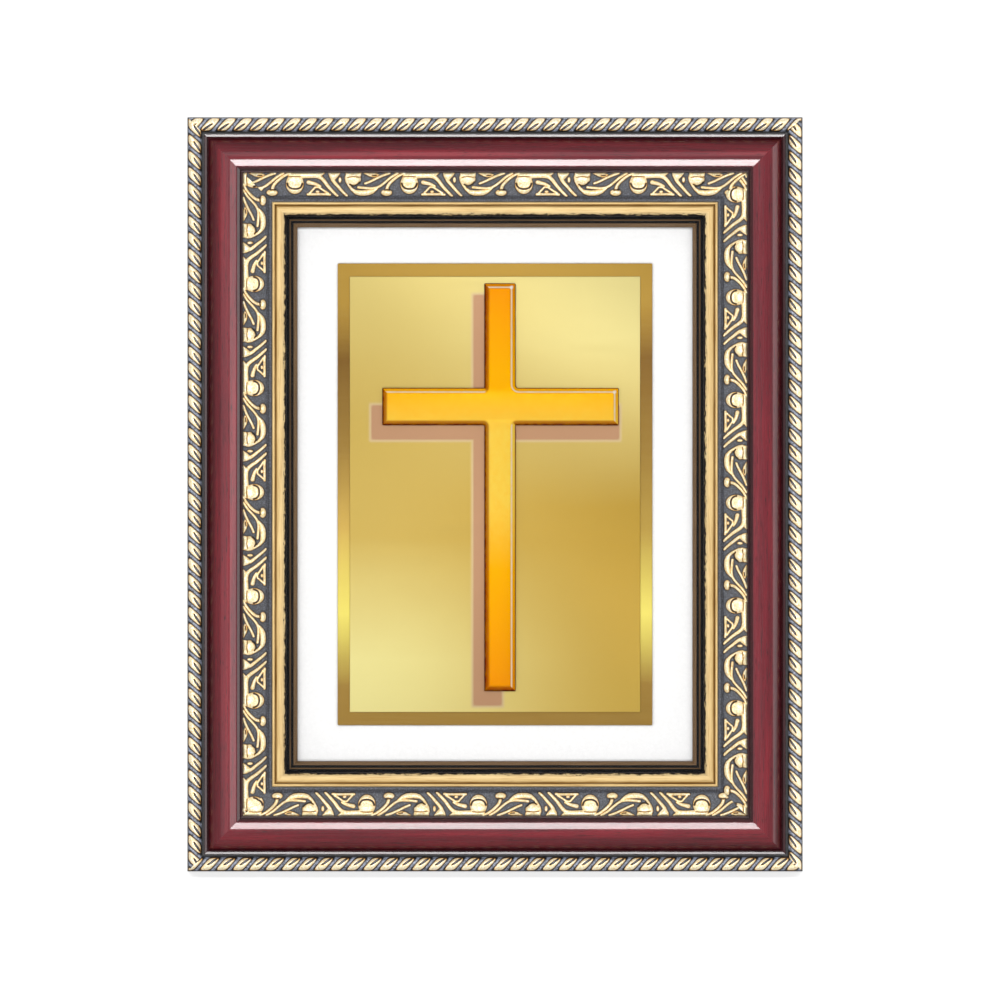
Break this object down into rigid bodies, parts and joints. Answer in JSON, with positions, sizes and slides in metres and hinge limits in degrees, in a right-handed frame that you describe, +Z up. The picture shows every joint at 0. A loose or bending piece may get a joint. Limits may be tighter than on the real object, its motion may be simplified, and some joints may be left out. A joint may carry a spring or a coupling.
{
  "type": "framed altar cross",
  "caption": "Gold-plated cross on a gold panel, glazed in a mahogany and gilt moulding frame with an easel strut and a hanging loop on the back.",
  "frame": {"origin": "centre of the footprint, on the surface that the frame and its strut stand on", "axes": "+Z up; the picture faces -Y and leans back by 13 degrees; +X is to the viewer's right"},
  "size_m": [0.175, 0.082, 0.212],
  "materials": {
    "mahogany": "mahogany stain under gloss lacquer, with ebonised edges",
    "gilt": "cast composition ornament, black ground with burnished gilt relief",
    "ebonised_wood": "black stain with brown painted lines, satin",
    "steel": "zinc plated",
    "glass": "clear float glass",
    "card": "smooth white mount card",
    "plate_gold": "gold plated, satin",
    "panel_gold": "pale gold foil, polished, with a printed shadow",
    "cross_gold": "gold plated, polished",
    "black_paper_board": "board covered in black velour paper",
    "brass_hardware": "brass plated, satin"
  },
  "bodies": {
    "frame": {"rail_bottom": "mahogany", "rope_bead_bottom": "gilt", "scroll_strip_bottom": "gilt", "sight_edge_bottom": "gilt", "fillet_bottom": "ebonised_wood", "rail_right": "mahogany", "rope_bead_right": "gilt", "scroll_strip_right": "gilt", "sight_edge_right": "gilt", "fillet_right": "ebonised_wood", "rail_top": "mahogany", "rope_bead_top": "gilt", "scroll_strip_top": "gilt", "sight_edge_top": "gilt", "fillet_top": "ebonised_wood", "rail_left": "mahogany", "rope_bead_left": "gilt", "scroll_strip_left": "gilt", "sight_edge_left": "gilt", "fillet_left": "ebonised_wood", "corner_nail_bottom_left": "steel", "corner_nail_bottom_right": "steel", "corner_nail_top_left": "steel", "corner_nail_top_right": "steel", "glazing_pane": "glass", "mount_card": "card", "backing_plate": "plate_gold", "foil_panel": "panel_gold", "cross": "cross_gold", "back_board": "black_paper_board", "button_screw_upper_left": "steel", "button_screw_upper_right": "steel", "button_screw_lower_left": "steel", "button_screw_lower_right": "steel", "hinge_leaf_board": "brass_hardware", "hinge_pin": "steel", "board_rivet_left": "brass_hardware", "board_rivet_right": "brass_hardware", "loop_strap": "brass_hardware", "strap_nail": "brass_hardware"},
    "easel_strut": {"strut": "black_paper_board", "hinge_leaf_strut": "brass_hardware", "strut_rivet_left": "brass_hardware", "strut_rivet_right": "brass_hardware"},
    "loop": {"hanging_loop": "brass_hardware"},
    "button_upper_left": {"turn_button_upper_left": "brass_hardware"},
    "button_upper_right": {"turn_button_upper_right": "brass_hardware"},
    "button_lower_left": {"turn_button_lower_left": "brass_hardware"},
    "button_lower_right": {"turn_button_lower_right": "brass_hardware"}
  },
  "joints": [
    {"name": "strut_fold", "type": "hinge", "parent": "frame", "child": "easel_strut", "pos_m": [0, 0.01, 0.14179], "axis": [1, 0, 0], "range_deg": [-25, 0]},
    {"name": "loop_swing", "type": "hinge", "parent": "frame", "child": "loop", "pos_m": [0, 0.02383, 0.20171], "axis": [1, 0, 0], "range_deg": [-12, 165]},
    {"name": "button_turn_upper_left", "type": "hinge", "parent": "frame", "child": "button_upper_left", "pos_m": [-0.0685, 0.01396, 0.16473], "axis": [0, 0.9744, -0.225], "continuous": true},
    {"name": "button_turn_upper_right", "type": "hinge", "parent": "frame", "child": "button_upper_right", "pos_m": [0.0685, 0.01396, 0.16473], "axis": [0, 0.9744, -0.225], "continuous": true},
    {"name": "button_turn_lower_left", "type": "hinge", "parent": "frame", "child": "button_lower_left", "pos_m": [-0.0685, -0.01393, 0.04391], "axis": [0, 0.9744, -0.225], "continuous": true},
    {"name": "button_turn_lower_right", "type": "hinge", "parent": "frame", "child": "button_lower_right", "pos_m": [0.0685, -0.01393, 0.04391], "axis": [0, 0.9744, -0.225], "continuous": true}
  ]
}
